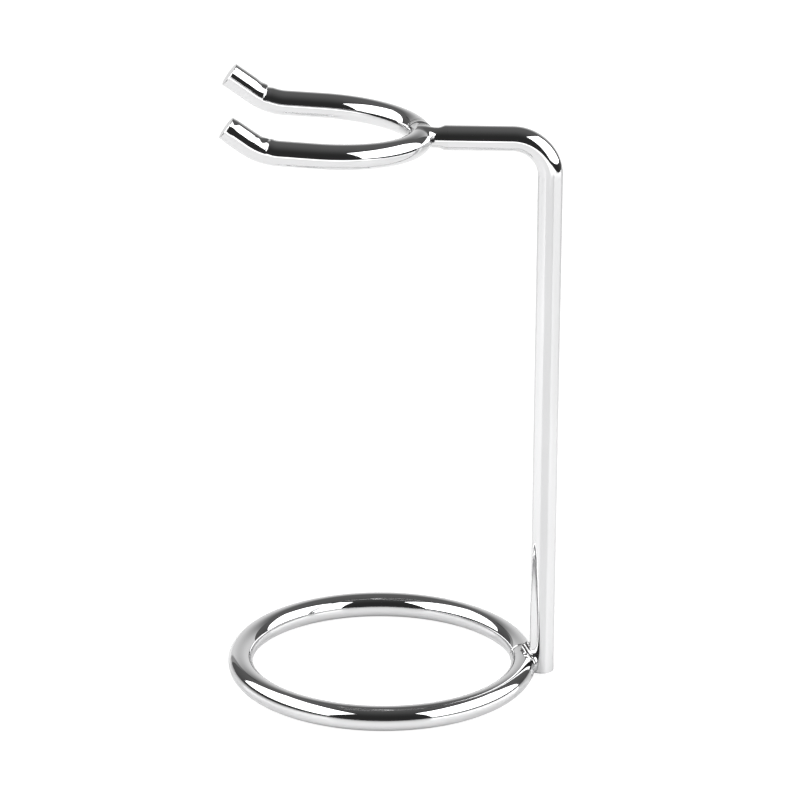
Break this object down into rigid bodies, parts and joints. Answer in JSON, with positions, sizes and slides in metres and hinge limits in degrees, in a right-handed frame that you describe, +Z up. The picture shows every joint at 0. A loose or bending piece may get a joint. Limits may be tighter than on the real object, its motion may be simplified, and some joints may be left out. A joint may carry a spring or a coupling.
{
  "type": "shaving brush stand",
  "caption": "Chromed rod stand that holds a shaving brush by its neck in an open fork above a round ring base.",
  "frame": {"origin": "middle of the object's box, on the surface that the base ring stands on", "axes": "+Z up, +X from the ring's centre towards the post, -X the way the fork opens, +Y towards the back tine"},
  "size_m": [0.0677, 0.0624, 0.1236],
  "materials": {
    "chrome_rod": "bright polished chrome plate on drawn steel rod, with faint draw lines and polishing haze",
    "chrome_weld": "bright chrome plate over an undressed weld bead, a little rougher than the rod"
  },
  "bodies": {
    "root": {"base_ring": "chrome_rod", "ring_seam": "chrome_weld", "post_arm": "chrome_rod", "base_weld": "chrome_weld", "fork": "chrome_rod", "fork_weld": "chrome_weld"}
  },
  "joints": []
}
